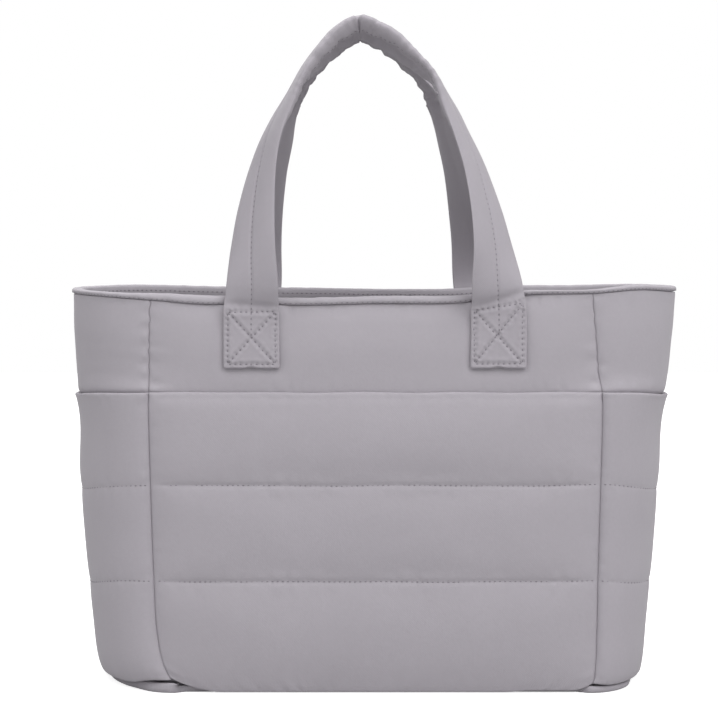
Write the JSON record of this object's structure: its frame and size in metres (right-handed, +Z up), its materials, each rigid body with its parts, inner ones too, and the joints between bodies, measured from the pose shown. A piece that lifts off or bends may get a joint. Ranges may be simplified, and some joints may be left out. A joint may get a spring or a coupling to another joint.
{
  "type": "padded shoulder tote bag",
  "caption": "Soft padded cloth shoulder tote with an open mouth, quilted slip pockets on its front and sides, a bound rim and padded handles sewn to its front and back.",
  "frame": {"origin": "Middle of the underside of the base, on the surface that the bag stands on.", "axes": "+Z up to the handles, -Y out of the front pocket, +X to the right seen from the front."},
  "size_m": [0.4562, 0.1675, 0.4901],
  "materials": {
    "body_cloth": "matte",
    "pocket_cloth": "matte",
    "binding_cloth": "matte",
    "handle_cloth": "matte"
  },
  "bodies": {
    "root": {"base_panel": "body_cloth", "front_panel": "body_cloth", "back_panel": "body_cloth", "side_panel_left": "body_cloth", "side_panel_right": "body_cloth", "front_pocket": "pocket_cloth", "side_pocket_left": "pocket_cloth", "side_pocket_right": "pocket_cloth", "rim_binding": "binding_cloth", "front_handle": "handle_cloth", "back_handle": "handle_cloth"}
  },
  "joints": []
}
